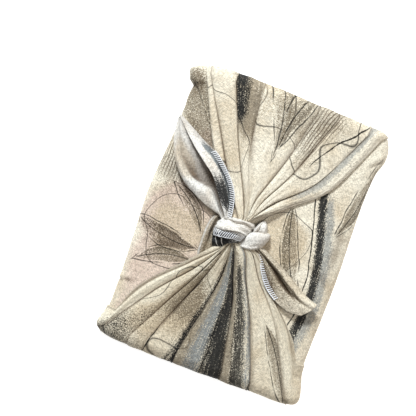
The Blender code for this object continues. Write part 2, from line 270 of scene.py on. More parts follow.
class PrintedLinen:
    """Plain-woven linen with a hand-brushed print, painted layer over layer in the flat cloth's metres."""

    def __init__(self, name, ground=CREAM, shade=TAN):
        self.material = bpy.data.materials.new(name)
        self.material.use_nodes = True
        self.tree = self.material.node_tree
        self.shader = self.tree.nodes["Principled BSDF"]
        self.flat = self.node("ShaderNodeUVMap", uv_map="flat").outputs[0]
        split = self.node("ShaderNodeSeparateXYZ", {0: self.flat})
        self.u, self.v = split.outputs[0], split.outputs[1]
        place = self.node("ShaderNodeTexCoord").outputs["Object"]
        # The noises that the cloth and its print share, from the threads' scale up to the washes'.
        self.threads = self.weave(420, 2300)
        self.slubs = self.weave(260, 1000)
        self.speckle = self.cloud(place, 1050, 2.0)
        self.ragged = self.cloud(self.flat, 190, 4.0)
        self.wobble = self.cloud(self.flat, 48, 1.0)
        self.cloudy = self.cloud(self.flat, 26, 3.0)
        self.drift = self.cloud(self.flat, 19, 0.6)
        streaks = self.node("ShaderNodeMapping", {"Vector": self.flat, "Scale": (760, 40, 1)})
        self.streak = self.cloud(streaks.outputs[0], 1, 3.0)
        self.colour = self.mix(self.clamp(self.cloudy, 0.42, 0.82), ground, shade)
        self.finish_cloth()

    def node(self, kind, inputs=(), **settings):
        node = self.tree.nodes.new(kind)
        for setting, value in settings.items():
            setattr(node, setting, value)
        for socket, value in dict(inputs).items():
            if isinstance(value, bpy.types.NodeSocket):
                self.tree.links.new(value, node.inputs[socket])
            else:
                node.inputs[socket].default_value = value
        return node

    def math(self, operation, *values, clamped=False):
        worked = self.node("ShaderNodeMath", enumerate(values), operation=operation, use_clamp=clamped)
        return worked.outputs[0]

    def times(self, a, b, clamped=False):
        return self.math("MULTIPLY", a, b, clamped=clamped)

    def plus(self, a, b):
        return self.math("ADD", a, b)

    def minus(self, a, b):
        return self.math("SUBTRACT", a, b)

    def swung(self, value, most):
        """A noise, which lies round 0.5, made to swing round 0."""
        return self.times(self.minus(value, 0.5), most)

    def clamp(self, value, low, high):
        """0 below low, 1 over high and even between, or the other way round if low is over high."""
        ranged = self.node("ShaderNodeMapRange", {0: value, 1: low, 2: high, 3: 0.0, 4: 1.0})
        return ranged.outputs[0]

    def mix(self, factor, below, above):
        mixed = self.node("ShaderNodeMix", data_type="RGBA")
        for socket, value in zip((0, 6, 7), (factor, below, above)):
            if isinstance(value, bpy.types.NodeSocket):
                self.tree.links.new(value, mixed.inputs[socket])
            elif socket:
                mixed.inputs[socket].default_value = (*value, 1.0)
            else:
                mixed.inputs[socket].default_value = value
        return mixed.outputs[2]

    def cloud(self, place, scale, detail):
        texture = self.node("ShaderNodeTexNoise", {"Vector": place, "Scale": scale, "Detail": detail})
        return texture.outputs[0]

    def weave(self, along, across):
        """Uneven threads both ways at 45 degrees to the bundle, as the cloth lies on its diagonal."""
        diagonal = {"Vector": self.flat, "Rotation": (0, 0, math.radians(45))}
        turned = self.node("ShaderNodeMapping", diagonal).outputs[0]
        warp, weft = (
            self.cloud(self.node("ShaderNodeMapping", {"Vector": turned, "Scale": scale}).outputs[0], 1, 2.0)
            for scale in ((along, across, 1), (across, along, 1))
        )
        return self.times(self.plus(warp, weft), 0.5)

    def finish_cloth(self):
        """The weave's relief, and a dull surface with a little fuzz."""
        fine = self.node("ShaderNodeBump", {"Strength": 0.5, "Distance": 0.0005, "Height": self.threads})
        coarse = {"Strength": 0.6, "Distance": 0.0014, "Height": self.slubs, "Normal": fine.outputs[0]}
        uneven = self.node("ShaderNodeBump", coarse)
        puckers = {"Strength": 0.4, "Distance": 0.003, "Height": self.ragged, "Normal": uneven.outputs[0]}
        self.tree.links.new(self.node("ShaderNodeBump", puckers).outputs[0], self.shader.inputs["Normal"])
        self.tree.links.new(self.clamp(self.threads, -1.0, 1.15), self.shader.inputs["Roughness"])
        self.shader.inputs["Sheen Weight"].default_value = 0.02
        self.shader.inputs["Sheen Roughness"].default_value = 0.6
        self.shader.inputs["Specular IOR Level"].default_value = 0.08

    def paint(self, mask, colour, strength=1.0):
        self.colour = self.mix(self.times(mask, strength, clamped=True), self.colour, colour)

    def between(self, value, low, high, soft=0.012):
        """1 where the value lies between low and high, with soft ends."""
        rising = self.clamp(value, low - soft, low + soft)
        return self.times(rising, self.clamp(value, high + soft, high - soft))

    def apart_from(self, centre, radii):
        """How far from a centre a point lies, squared, with the radii as the unit."""
        across = self.math("DIVIDE", self.minus(self.u, centre[0]), radii[0])
        along = self.math("DIVIDE", self.minus(self.v, centre[1]), radii[1])
        return self.plus(self.math("POWER", across, 2.0), self.math("POWER", along, 2.0))

    def flecked(self, cover, dry=1.0):
        """Paint on rough cloth: where the cover is thin it sits on the raised threads alone."""
        return self.clamp(self.plus(cover, self.swung(self.speckle, 3.4 * dry)), 0.26, 0.84)

    def off_line(self, centre, lean, sway, wave, phase):
        """How far to the right of a wavy line along the cloth a point lies."""
        angle = self.math("MULTIPLY_ADD", self.v, math.tau / wave, phase)
        wavy = self.math("MULTIPLY_ADD", self.math("SINE", angle), sway, centre)
        return self.minus(self.u, self.math("MULTIPLY_ADD", self.v, lean, wavy))

    def brush_band(
        self, colour, centre, half, reach, lean=0.0, sway=0.0, wave=0.1, phase=0.0, dry=1.0, strength=0.97
    ):
        """A stroke of a wide brush along the cloth: full in its middle, thin at its edges and its ends."""
        off = self.math("DIVIDE", self.off_line(centre, lean, sway, wave, phase), half)
        inside = self.math("MULTIPLY_ADD", self.times(off, off), -1.2, 1.2)
        spent = self.times(self.minus(self.between(self.v, *reach), 1.0), 1.6)
        cover = self.plus(self.plus(inside, spent), self.swung(self.streak, 2.1 * dry))
        self.paint(self.flecked(cover, dry), colour, strength)

    def ink_line(self, centre, reach, lean=0.0, sway=0.0, wave=0.1, phase=0.0, half=0.0006, strength=0.95):
        """A thin pen line along the cloth, swelling and thinning."""
        off = self.plus(self.off_line(centre, lean, sway, wave, phase), self.swung(self.wobble, 0.004))
        room = self.times(self.clamp(self.ragged, 0.2, 0.6), half)
        mask = self.clamp(self.minus(self.math("ABSOLUTE", off), room), 0.7 * half, 0.0)
        self.paint(self.times(mask, self.between(self.v, *reach, soft=0.004)), INK, strength)

    def wash(self, colour, centre, radii, strength=0.7, soft=0.35, dry=0.5, rimmed=0.0):
        """A thin pool of colour, flecked where the brush ran out, with a broken pen line along its rim."""
        apart = self.math("SQRT", self.apart_from(centre, radii))
        inside = self.minus(1.0, self.plus(apart, self.swung(self.drift, 2.2)))
        pooled = self.times(self.math("MINIMUM", self.math("DIVIDE", inside, soft), 1.0), 0.85)
        self.paint(self.flecked(pooled, dry), colour, strength)
        rim = self.between(inside, 0.03, 0.062, soft=0.012)
        self.paint(self.times(rim, self.clamp(self.ragged, 0.25, 0.38)), INK, rimmed)

    def leaf(self, colour, root, length, turn, half, bend=0.0, strength=0.85, dry=0.7):
        """A long leaf from its root, this many degrees off the cloth's length, brushed thinner to its tip."""
        sin, cos = math.sin(math.radians(turn)), math.cos(math.radians(turn))
        du = self.minus(self.u, root[0])
        dv = self.minus(self.v, root[1])
        along = self.plus(self.times(du, sin), self.times(dv, cos))
        side = self.minus(self.times(du, cos), self.times(dv, sin))
        q = self.math("DIVIDE", along, length)
        arch = self.times(self.times(q, self.minus(1.0, q)), 4.0)
        off_rib = self.minus(side, self.times(arch, bend))
        room = self.plus(self.times(arch, half), self.swung(self.wobble, 0.5 * half))
        inside = self.minus(room, self.math("ABSOLUTE", off_rib))
        spent = self.math("MULTIPLY_ADD", q, -0.7, self.plus(self.streak, 1.1))
        full = self.math("MULTIPLY_ADD", self.clamp(inside, -0.0012, 0.0016), spent, -0.5)
        self.paint(self.flecked(full, dry), colour, strength)
        shaded = self.times(self.clamp(inside, 0.0, 0.0015), self.clamp(off_rib, -0.3 * half, 0.8 * half))
        self.paint(self.flecked(shaded, 0.5), tuple(0.4 * c for c in colour), 0.7 * strength)
        width = self.times(self.clamp(self.ragged, 0.2, 0.65), 0.00045)
        drawn = self.math("ABSOLUTE", self.plus(inside, 0.0012))
        rim = self.clamp(self.minus(drawn, width), 0.0005, 0.0)
        rim = self.times(rim, self.clamp(self.cloudy, 0.42, 0.5))
        rib = self.clamp(self.minus(self.math("ABSOLUTE", off_rib), width), 0.0004, 0.0)
        rib = self.times(rib, self.between(q, 0.04, 0.93, soft=0.03))
        self.paint(self.math("MAXIMUM", rim, rib), INK, 0.85)

    def hatching(self, centre, radii, pitch, strength=0.85):
        """A patch of fine dry lines along the cloth."""
        bent = self.times(self.wobble, 7.0)
        angle = self.plus(self.times(self.u, math.tau / pitch), bent)
        lines = self.clamp(self.math("SINE", angle), 0.2, 0.8)
        apart = self.apart_from(centre, radii)
        patch = self.clamp(self.plus(apart, self.times(self.streak, 1.3)), 1.7, 0.9)
        self.paint(self.times(lines, patch), BROWN, strength)

    def done(self):
        """The print with darker threads of the weave showing in it, and painted shade deep in the creases."""
        dark = self.mix(0.6, (0.0, 0.0, 0.0), self.colour)
        woven = self.mix(self.clamp(self.slubs, 0.4, 0.58), dark, self.colour)
        # Painted shade: deep in the creases the colour is multiplied by a dark brown, as far as the crease
        # attribute goes.
        fold_shade_tint = self.node("ShaderNodeMix", {0: 1.0, 6: woven, 7: (*FOLD_SHADE, 1.0)}, data_type="RGBA")
        fold_shade_tint.blend_type = "MULTIPLY"
        crease = self.node("ShaderNodeAttribute", attribute_name="crease").outputs["Fac"]
        creased = self.mix(self.times(crease, 0.9), woven, fold_shade_tint.outputs[2])
        self.tree.links.new(creased, self.shader.inputs["Base Color"])
        return self.material


sides = make_wrapped_sides()
ruffle(sides, flap_height)
give_thickness(sides)

flap_print = PrintedLinen("flap_linen", PALE_CREAM)
flap_print.wash(BLUSH, (-0.066, -0.02), (0.052, 0.12), 0.85, 0.4, 0.5)
# A dark brown pool on the edge at the left ear: painted shade, where the ear's fold shades the wall.
flap_print.wash(BROWN, (-0.1, 0.13), (0.015, 0.018), 0.8, 0.6, 0.8)
flap_print.wash(TAUPE, (-0.078, 0.105), (0.056, 0.06), 0.9, 0.6, 1.0)
flap_print.wash(TAUPE, (-0.09, 0.034), (0.036, 0.03), 0.6, 0.7, 1.0)
flap_print.wash(TAN, (-0.062, -0.02), (0.036, 0.04), 0.8, 0.6, 0.8, 0.85)
flap_print.leaf(TAUPE, (-0.038, -0.046), 0.062, -107, 0.008, 0.006)
flap_print.leaf(BROWN, (-0.038, -0.032), 0.074, -80, 0.0095, -0.006, 0.8)
flap_print.leaf(TAUPE, (-0.04, -0.016), 0.06, -47, 0.007, 0.005, 0.8, 1.1)
flap_print.hatching((-0.088, 0.056), (0.026, 0.036), 0.0032)
flap_print.wash(TAN, (0.047, 0.004), (0.03, 0.04), 0.8, 0.4, 0.7, 0.85)
flap_print.leaf(TAUPE, (0.04, 0.045), 0.1, 158, 0.0085, 0.006, 0.8, 1.0)
flap_print.brush_band(BLUE_GREY, 0.08, 0.0075, (-0.15, 0.07), 0.0, 0.016, 0.34, 2.4, 1.4, 0.7)
flap_print.brush_band(CHARCOAL, 0.073, 0.006, (-0.15, 0.085), 0.0, 0.016, 0.34, 2.4, 0.85)
flap_print.ink_line(0.0645, (-0.14, 0.1), 0.0, 0.016, 0.34, 2.4)
flap_print.leaf(TAUPE, (0.092, 0.03), 0.09, 12, 0.008, 0.004, 0.8)
sides.data.materials.append(flap_print.done())

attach(sides, "root")
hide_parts("furoshiki_cloth")

# The two tied ends, of the same linen. They are the cloth's other two corners: each comes up over a short
# end of the bundle, gathers in deep pleats and runs into the knot. Their sides are soft rolled folds on the
# flaps.
PLEAT_HEIGHT_AT_FOOT = 1.4
FOOT_DRAWN_IN = 0.3
FOOT_TAPER = 6
ROLL_SPARE = 0.3
MOST_SLANT = 0.7
LOWEST_POINT = 0.25
ROLL_ANGLES = np.radians((30, 60, 90, 120, 150, 180))
# How far a pleat lies below its neighbours, in millimetres, for full painted shade in it.
SHADED_FOLD_DEPTH = 1.1
UPPER_GATHER = np.array((-4.0, 5.0))
LOWER_GATHER = np.array((-8.0, -8.0))

# Small gathers all over: how close they stand across and along, their seed, how high they are, how much
# higher by the knot, and over what length that fades.
SMALL_GATHERS = (
    (0.16, 0.022, 0, 0.5, 1.5, 38),
    (0.42, 0.03, 7, 0.22, 0.5, 55),
)

# Each pleat line: its name, whether it is a sharp crease, then x, y and the height over the bundle at four
# places: by the knot, below it, halfway, and where it turns over the bundle's edge.
UPPER_PLEATS = (
    ("left edge", 0, -21, 13, 7.0, -36, 34, 5.2, -61, 80, 4.4, -95, 150, 2.8),
    ("outer valley", 1, -12, 16, 8.0, -27, 38, 2.6, -54, 83, 1.5, -90, 150, 1.4),
    ("outer ridge", 0, -7, 17, 11.5, -17, 36, 8.2, -41, 84, 5.8, -73, 151, 3.8),
    ("split crease", 1, -5, 17, 9.0, -13, 37, 3.4, -36, 84, 2.0, -61, 151, 1.8),
    ("bright ridge", 0, -4, 18, 12.0, -10, 38, 8.4, -31, 80, 5.8, -50, 152, 3.6),
    ("soft valley", 1, -3, 17, 10.5, -7, 38, 5.5, -22, 80, 2.8, -32, 152, 2.2),
    ("middle panel", 0, -2, 17, 12.0, -2, 40, 7.5, -2, 82, 5.5, -6, 151, 3.8),
    ("deep crease", 1, -1, 17, 9.5, 2, 40, 4.0, 15, 80, 1.8, 30, 150, 1.8),
    ("crease ridge", 0, 0.5, 17, 12.0, 5, 40, 8.8, 21, 82, 6.2, 37, 149, 3.8),
    ("right valley", 1, 2, 18, 10.5, 9, 39, 5.0, 29, 80, 2.6, 52, 149, 2.0),
    ("right ridge", 0, 3.5, 19, 11.5, 13, 40, 8.2, 38, 81, 5.8, 67, 148, 3.4),
    ("right hollow", 1, 5, 20, 9.6, 20, 41, 4.2, 54, 76, 2.9, 87, 148, 2.4),
    ("right roll", 0, 6.5, 20, 10.5, 30, 43, 5.2, 65, 74, 3.8, 98, 147, 2.8),
    ("right edge", 0, 8, 20, 9.0, 37, 43, 4.0, 71, 75, 2.8, 105, 144, 2.2),
)
LOWER_PLEATS = (
    ("left edge", 0, -17, -23, 9.0, -42, -48, 4.5, -78, -86, 3.0, -104, -121, 2.2),
    ("left roll", 0, -16.5, -24, 10.5, -39, -49, 8.0, -73, -87, 6.2, -104, -128, 3.4),
    ("trough", 1, -16, -25, 8.5, -34, -52, 2.0, -64, -87, 1.5, -103, -140, 1.4),
    ("hump", 0, -15.5, -26, 11.5, -29, -52, 8.4, -54, -88, 6.6, -89, -147, 3.6),
    ("dark crease", 1, -14.5, -26, 8.0, -27, -54, 1.6, -45, -88, 1.4, -73, -148, 1.4),
    ("narrow ridge", 0, -13, -26, 12.5, -25, -54, 9.0, -41, -88, 7.0, -65, -148, 3.8),
    ("second crease", 1, -11.5, -26, 8.5, -20, -53, 1.8, -34, -88, 1.6, -55, -148, 1.6),
    ("small ridge", 0, -9.5, -26, 12.0, -15, -50, 8.2, -25, -86, 5.8, -43, -149, 3.4),
    ("thin crease", 1, -6, -24, 9.0, -5, -48, 4.2, -10, -84, 3.0, -22, -149, 2.2),
    ("striped panel", 0, -3.5, -23, 11.5, 2, -48, 6.5, 5, -80, 5.0, 2, -149, 3.6),
    ("fold edge crease", 1, -1, -22, 8.0, 7.5, -48, 1.8, 17, -76, 1.6, 30, -149, 1.8),
    ("fold edge ridge", 0, 1, -21, 11.5, 10, -47, 8.6, 20, -76, 6.6, 38, -149, 3.8),
    ("grey band valley", 1, 9, -19, 9.5, 19, -41, 5.0, 38, -80, 2.8, 62, -149, 2.0),
    ("slant ridge", 0, 13, -18, 10.5, 26, -40, 7.4, 50, -76, 5.2, 84, -148, 3.2),
    ("slant valley", 1, 17, -17, 8.5, 33, -40, 3.6, 62, -74, 2.2, 104, -145, 1.5),
    ("right roll", 0, 21, -17, 9.0, 43, -44, 5.0, 75, -78, 3.6, 111, -130, 2.2),
    ("right edge", 0, 24, -17, 7.5, 48, -46, 3.4, 82, -80, 2.4, 108.5, -108, 1.5),
)


def in_folds(height, reach, full):
    """How deep in a fold each point lies, 0 to 1: how far below the mean height of its row's neighbours."""
    padded = np.pad(height, ((0, 0), (reach, reach)), mode="edge")
    window = np.ones(2 * reach + 1) / (2 * reach + 1)
    around = np.array([np.convolve(row, window, mode="valid") for row in padded])
    return np.clip((around - height) / full, 0, 1)


def edge_place(x, y):
    """How far round the outline its nearest point to x, y lies."""
    return EDGE_AT[np.argmin(np.hypot(EDGE[:, 0] - x, EDGE[:, 1] - y))]


def eased(f, from_crease, to_crease):
    """How far the height has gone from one pleat line to the next: steep at a crease, flat on a ridge."""
    if from_crease and not to_crease:
        return math.sin(f * math.pi / 2)
    if to_crease and not from_crease:
        return 1 - math.cos(f * math.pi / 2)
    return f * f * (3 - 2 * f)


def rolled_over(f, from_crease, to_crease, roll=0.24):
    """How far across the cloth has gone: a ridge hangs a little over the crease beside it."""
    if from_crease and not to_crease:
        return f - roll * math.sin(math.pi * f) * (1 - f) * 2
    if to_crease and not from_crease:
        return f + roll * math.sin(math.pi * f) * f * 2
    return f


def small_gathers(u, gone, seed):
    """The height of the small gathers down one column of the cloth."""
    height = np.zeros(len(gone))
    for close_across, close_along, offset, everywhere, by_knot, fading in SMALL_GATHERS:
        places = [(u * close_across, r * close_along, seed + offset) for r in gone]
        ripple = np.array([noise.noise(place) for place in places])
        height += ripple * (everywhere + by_knot * np.exp(-gone / fading))
    return height


def make_tied_end(name, pleats, gather, seed, between=14, along=18, gathered_in=0.35):
    """One gathered corner: rows from the knot to the foot of the wall, with columns across the pleats."""
    profile = wall_profile()[1:]
    down = np.cumsum(np.linalg.norm(np.diff(wall_profile()[:, :2], axis=0), axis=1))
    foot_fade = np.linspace(1, 0, len(profile))
    lines = []
    for _, sharp, *places in pleats:
        x, y, height = np.array(places).reshape(-1, 3).T
        lines.append((sharp, np.column_stack([x, y]), height, edge_place(x[-1], y[-1])))
    columns, ways_out, heights, spread = [], [], [], []
    flat_u = 0.0
    for i in range(len(lines) - 1):
        (sharp_a, p_a, h_a, s_a), (sharp_b, p_b, h_b, s_b) = lines[i], lines[i + 1]
        half_round = EDGE_AT[-1] / 2
        turn = (s_b - s_a + half_round) % EDGE_AT[-1] - half_round
        last = i == len(lines) - 2
        for f in np.arange(between + last) / between:
            h = h_a + (h_b - h_a) * eased(f, sharp_a, sharp_b)
            g = rolled_over(f, sharp_a, sharp_b)
            p = p_a + (p_b - p_a) * g
            end = edge_point(s_a + turn * g)
            out = outwards(end)
            brow = end - out * TOP_EDGE_RADIUS
            root = gather + gathered_in * (p[0] - gather)
            line = spline([root, p[0], p[1], p[2], brow], along)
            height = spline([(h[0],), (h[0],), (h[1],), (h[2],), (h[3],)], along)[:, 0]
            gone = np.concatenate([[0.0], np.cumsum(np.linalg.norm(np.diff(line, axis=0), axis=1))])
            u = flat_u + f * abs(turn)
            height += small_gathers(u, gone, seed)
            on_top = np.column_stack([line, bundle_top(line[:, 0], line[:, 1]) + height])
            # Down the wall the pleats fade out to the foot.
            proud = PLEAT_HEIGHT_AT_FOOT + (height[-1] - PLEAT_HEIGHT_AT_FOOT) * foot_fade
            proud = proud * np.clip(foot_fade * FOOT_TAPER, 0, 1) - FOOT_DRAWN_IN * (1 - foot_fade)
            sideways = profile[:, 2] * proud - profile[:, 0]
            on_wall = np.column_stack([end + out * sideways[:, None], profile[:, 1] + proud * profile[:, 3]])
            columns.append(np.concatenate([on_top, on_wall]))
            up = np.tile((0.0, 0.0, 1.0), (len(on_top), 1))
            away = np.column_stack([out * profile[:, 2:3], profile[:, 3]])
            ways_out.append(np.concatenate([up, away]))
            heights.append(np.concatenate([height, proud]))
            heading = brow - p[2]
            sideward = np.array((-out[1], out[0])) * math.copysign(1.0, turn)
            slant = np.clip(heading.dot(sideward) / heading.dot(out), -MOST_SLANT, MOST_SLANT)
            v = np.concatenate([gone, gone[-1] + down])
            spread.append(np.column_stack([np.concatenate([0 * gone, -slant * down]) + u, v]))
        flat_u += abs(turn)
    surface, way_out, height, flat = map(np.array, (columns, ways_out, heights, spread))
    flat[..., 0] -= flat_u / 2
    # Both sides of the gathered cloth are rolled under.
    rolls, roll_flats = [], []
    for side, inner in ((0, 3), (-1, -4)):
        across = surface[side] - surface[inner]
        across -= way_out[side] * (across * way_out[side]).sum(axis=1, keepdims=True)
        across /= np.linalg.norm(across, axis=1, keepdims=True)
        radius = np.maximum(height[side] / 2 + ROLL_SPARE, 0.0)[:, None]
        roll, past = [], []
        for a in ROLL_ANGLES:
            turned = across * math.sin(a) - way_out[side] * (1 - math.cos(a))
            roll.append(surface[side] + turned * radius)
            around = (radius * a)[:, 0] * (1 if side else -1)
            past.append(flat[side] + np.column_stack([around, 0 * around]))
        rolls.append(roll)
        roll_flats.append(past)
    points = np.concatenate([rolls[0][::-1], surface, rolls[1]])
    spread = np.concatenate([roll_flats[0][::-1], flat, roll_flats[1]])
    points[..., 2] = np.maximum(points[..., 2], LOWEST_POINT)
    rolled = len(ROLL_ANGLES)
    height = np.pad(height, ((rolled, rolled), (0, 0)), mode="edge")
    # How deep in a fold each point lies, which the material darkens as painted shade.
    folded = in_folds(height.T, between, SHADED_FOLD_DEPTH) ** 0.7
    return lay_cloth(name, points.transpose(1, 0, 2), spread.transpose(1, 0, 2), folded)


upper_end = make_tied_end("upper_tied_end", UPPER_PLEATS, UPPER_GATHER, 3.1)
lower_end = make_tied_end("lower_tied_end", LOWER_PLEATS, LOWER_GATHER, 8.6)

upper_print = PrintedLinen("upper_end_linen", PALE_CREAM)
upper_print.wash(TAUPE, (0.026, 0.15), (0.06, 0.06), 0.7, 0.8, 1.2, 0.85)
upper_print.wash(TAN, (-0.03, 0.17), (0.05, 0.05), 0.8, 0.6, 1.0)
upper_print.brush_band(TAUPE, -0.052, 0.019, (0.085, 0.21), 0.0, 0.003, 0.1, 0.5, 1.0, 0.8)
upper_print.brush_band(CHARCOAL, -0.06, 0.0095, (0.105, 0.21), dry=1.0)
upper_print.brush_band(BLUE_GREY, 0.086, 0.005, (0.05, 0.2), dry=1.0, strength=0.6)
upper_print.hatching((0.04, 0.13), (0.02, 0.05), 0.0026)
upper_print.leaf(TAUPE, (-0.006, 0.075), 0.105, -11, 0.0075, 0.005, 0.6, 1.1)
upper_print.leaf(TAUPE, (-0.004, 0.085), 0.09, 9, 0.0065, -0.003, 0.7, 1.0)
upper_print.wash(TAN, (-0.085, 0.1), (0.03, 0.05), 0.6, 0.6, 0.8, 0.85)
upper_print.ink_line(0.0655, (0.09, 0.2), 0.0, 0.006, 0.16, 1.0)
upper_end.data.materials.append(upper_print.done())

lower_print = PrintedLinen("lower_end_linen")
# Tan and taupe pools over the left folds: painted shade of those deep folds.
lower_print.wash(TAN, (-0.075, 0.1), (0.045, 0.09), 0.9, 0.6, 0.5, 0.8)
lower_print.wash(TAUPE, (-0.07, 0.055), (0.038, 0.075), 0.95, 0.7, 0.9)
lower_print.brush_band(TAUPE, -0.022, 0.026, (0.0, 0.21), dry=1.2, strength=0.8)
lower_print.brush_band(CHARCOAL, -0.035, 0.0115, (0.012, 0.21), sway=0.001, wave=0.15, dry=0.75)
lower_print.brush_band(BLUE_GREY, -0.012, 0.0085, (0.0, 0.21), dry=1.3, strength=0.8)
lower_print.brush_band(CHARCOAL, 0.003, 0.0125, (0.0, 0.21), sway=0.0015, wave=0.12, dry=0.75)
lower_print.brush_band(TAUPE, 0.022, 0.0115, (0.0, 0.21), dry=1.1, strength=0.8)
lower_print.brush_band(CHARCOAL, 0.032, 0.0065, (0.02, 0.21), dry=1.1, strength=0.9)
lower_print.brush_band(BLUE_GREY, 0.045, 0.0085, (0.0, 0.21), dry=1.4, strength=0.8)
lower_print.ink_line(0.0545, (0.03, 0.2))
lower_print.ink_line(-0.0045, (0.03, 0.2), half=0.0004)
lower_print.wash(CHARCOAL, (-0.082, 0.165), (0.055, 0.045), 0.93, 0.75, 1.15)
lower_print.ink_line(-0.062, (0.05, 0.2), 0.0, 0.003, 0.16, 1.0)
lower_print.leaf(TAUPE, (0.076, 0.09), 0.095, 5, 0.0085, 0.004, 0.75)
lower_end.data.materials.append(lower_print.done())

for end in (upper_end, lower_end):
    give_thickness(end)
    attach(end, "root")
    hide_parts("furoshiki_cloth")

# The knot. The two corners pass over and under each other as in a square knot: a broad band of three folds,
# a loop at its left, two tight lobes at its right. It is the same linen, drawn up hard.
KNOT_FOOT = 23.0
TUCKED_IN = 0.12
# The painted shade in the knot's folds: over how many neighbours the mean height is taken, and how far below
# it a fold is fully shaded.
KNOT_FOLD_REACH = 9
KNOT_FOLD_DEPTH = 2.2

# The turns of the knot: for each line along one, x, y and z from where it comes up to where it dives.
KNOT_BAND = (
    ("upper edge",
     (-24, 8, 28), (-21, 11, 33), (-12, 12, 36), (0, 13.5, 36.5), (8, 12, 34), (11.5, 8.5, 28)),
    ("top roll",
     (-26, 6.5, 30), (-22.5, 9, 39), (-13, 9.8, 43), (-1, 11.4, 43.5), (7, 9.8, 40), (12, 6, 29)),
    ("crease under the roll",
     (-27, 4.5, 30), (-24, 7, 38), (-14, 7.2, 41), (-2, 8.8, 40.5), (6, 7, 37.5), (11.5, 4.5, 29)),
    ("pale fold",
     (-28.5, 2, 30), (-26, 3.5, 41), (-16, 3, 46.5), (-5, 5.4, 46), (4, 4.4, 41.5), (10.5, 2.5, 29.5)),
    ("slope",
     (-29.2, -1, 30), (-27, -0.5, 43), (-18, 0, 49.5), (-7, 2.5, 48), (2.5, 1.4, 42), (9, 0.5, 30)),
    ("step's crest",
     (-29.5, -3, 30), (-27.5, -3, 43.2), (-18, -3, 50.6), (-7, 0, 50.6), (2, -0.4, 44.5), (8, -1, 30)),
    ("step's foot",
     (-29.5, -4.2, 30), (-27.5, -4.5, 41.4), (-18, -4.6, 47.6), (-7, -1.6, 47.2), (1.5, -2, 41),
     (7, -2.5, 30)),
    ("hem", (-29.5, -8, 30), (-28, -8, 41), (-19, -7, 48), (-8, -4.8, 48), (0, -5, 42), (5.5, -5.5, 30)),
    ("hem's edge",
     (-29, -12.5, 30), (-27.5, -12.5, 40), (-20, -11.5, 46.2), (-9, -9.6, 46.2), (-2, -9.2, 40),
     (3.5, -8, 30)),
    ("under the hem",
     (-28.5, -13.3, 30), (-27, -13.5, 37), (-20, -12.6, 42), (-10, -10.8, 42), (-3, -10.2, 36.5),
     (2.5, -9, 30)),
    ("lower roll",
     (-27.5, -17, 29), (-26, -18, 37), (-20, -17.5, 41.5), (-12, -15.5, 41.5), (-5, -13.2, 36.5),
     (1.5, -10.5, 29.5)),
    ("lower edge",
     (-25, -22, 28), (-23.5, -24, 31), (-18, -23, 34), (-12, -20.5, 34), (-6.5, -16.2, 32),
     (0, -12.5, 28.5)),
)
LOWER_RIGHT_LOOP = (
    ("lower edge",
     (-4, -12.5, 28), (3, -15.2, 30), (12, -15, 30.4), (19.6, -11.6, 30), (22.6, -9.4, 29),
     (24, -7.5, 26.5)),
    ("lower fold",
     (-2, -11.4, 34), (3.6, -13.8, 39.4), (12, -13.2, 41), (19.4, -9.8, 39), (23, -7.8, 35),
     (24.8, -5.8, 27)),
    ("lower crease",
     (-0.5, -9.4, 35.4), (4.8, -10.6, 40.2), (13, -9.6, 41.4), (20.4, -6.6, 39.8), (24.2, -4.8, 35),
     (26, -3, 27)),
    ("flat side",
     (1, -6.5, 37), (6.5, -6, 41.6), (14, -4.4, 42.6), (21.6, -2, 41.2), (25.8, -0.6, 36.6),
     (27.6, 0.4, 28)),
    ("crown",
     (3, -2.5, 37), (8, -1, 42.2), (15, 0.8, 43.2), (22.4, 2.6, 41.8), (27, 3.4, 37), (28.7, 3.8, 28)),
    ("upper fold",
     (5.5, 1.5, 35), (10, 3.6, 40), (16, 5.2, 41), (22.8, 6.4, 40.2), (27, 6.6, 36), (28.7, 6.2, 28)),
    ("upper edge",
     (8, 4.5, 28), (11.5, 7.2, 31), (16.5, 8.6, 32), (22, 9.2, 31.5), (26, 9, 30), (28, 8.2, 27)),
)
UPPER_RIGHT_LOOP = (
    ("left edge", (8, 2, 28), (9.6, 7.6, 31.4), (12, 13, 32), (14.2, 18.4, 28)),
    ("left fold", (10, 2.5, 35), (11.4, 8, 40), (13.4, 13.4, 39.6), (15, 19.2, 31)),
    ("inner crease", (13, 3, 34.4), (14, 8.6, 37.4), (15.4, 14, 37), (16.2, 19.8, 30.6)),
    ("flat side", (16.4, 3.5, 35), (17.4, 9, 39.4), (17.8, 14.4, 38.8), (17.4, 20, 31)),
    ("right fold", (20, 4, 34), (21.4, 9, 38.6), (20.6, 14.4, 37.8), (18.8, 19.6, 30.5)),
    ("right edge", (22.4, 4, 28), (23.8, 9, 31), (22.6, 14.2, 31), (19.8, 19, 28)),
)
LEFT_LOOP = (
    ("outer edge", (-31, 9.5, 27), (-36.5, 2, 28), (-38.6, -14, 28), (-38, -30, 28), (-36.5, -40, 27)),
    ("outer slope",
     (-30.6, 9.2, 31), (-35, 2, 32.6), (-36.8, -14, 32.2), (-36, -30, 31.6), (-35, -40, 28.4)),
    ("ridge", (-29.8, 9, 33), (-32.8, 2, 35), (-34, -14, 34.6), (-33.2, -29.5, 33.4), (-32.8, -39, 29)),
    ("ridge's foot",
     (-28.6, 8, 31.5), (-31, 1, 32), (-31.6, -14, 31.4), (-31, -29, 30.8), (-31, -38, 28.5)),
    ("hollow",
     (-27.2, 6.5, 30.5), (-29, 0, 30.8), (-29.4, -13, 30.6), (-28.8, -27.5, 30.2), (-28, -36, 28.5)),
    ("inner edge", (-25, 5, 31), (-26, -2, 33), (-26, -14, 33), (-25, -25, 31), (-22, -33, 29)),
)


def surface_over(lines, along, across):
    """A smooth grid of points over the lines given along a piece, a row for each step along it."""
    spread = np.array([spline(row[1:], along) for row in lines])
    return np.array([spline(column, across) for column in spread.transpose(1, 0, 2)])


